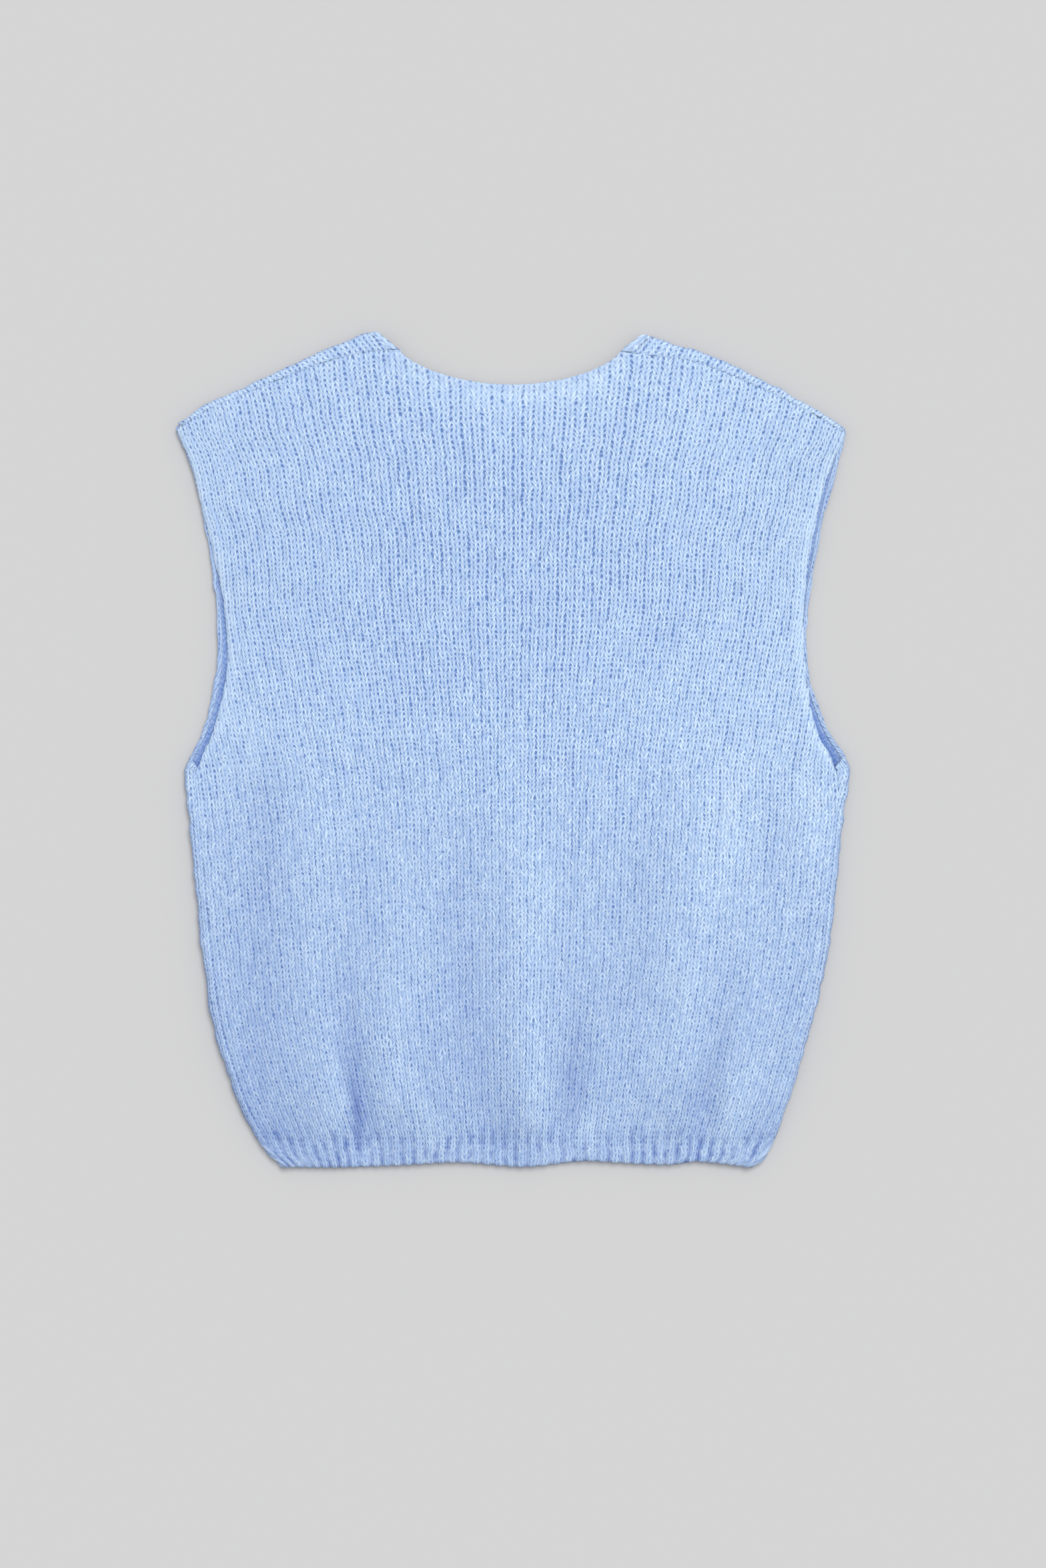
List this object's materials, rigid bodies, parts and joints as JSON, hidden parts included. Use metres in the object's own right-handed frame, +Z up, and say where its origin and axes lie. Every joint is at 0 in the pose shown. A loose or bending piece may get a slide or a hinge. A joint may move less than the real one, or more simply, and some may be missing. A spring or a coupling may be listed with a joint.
{
  "type": "knitted sweater vest",
  "caption": "Sleeveless pullover vest in chunky stocking stitch, laid flat with its back uppermost, with rolled armholes, a shallow back neck and a short ribbed hem.",
  "frame": {"origin": "middle of the underside, where the front of the vest lies on the surface", "axes": "+X across the vest, to the right when its back is seen from above; +Y up the vest, from the hem to the neck; +Z up from the surface, out of the back"},
  "size_m": [0.4838, 0.6008, 0.0157],
  "materials": {
    "knit": "soft brushed yarn, matt, in chunky stocking stitch",
    "rib": "soft brushed yarn, matt, in one by one rib",
    "neck_binding": "soft brushed yarn, matt, bound off round the neck"
  },
  "bodies": {
    "root": {"back_panel": "knit", "front_panel": "knit", "back_hem_rib": "rib", "front_hem_rib": "rib", "back_neck_binding": "neck_binding", "front_neck_binding": "neck_binding"}
  },
  "joints": []
}
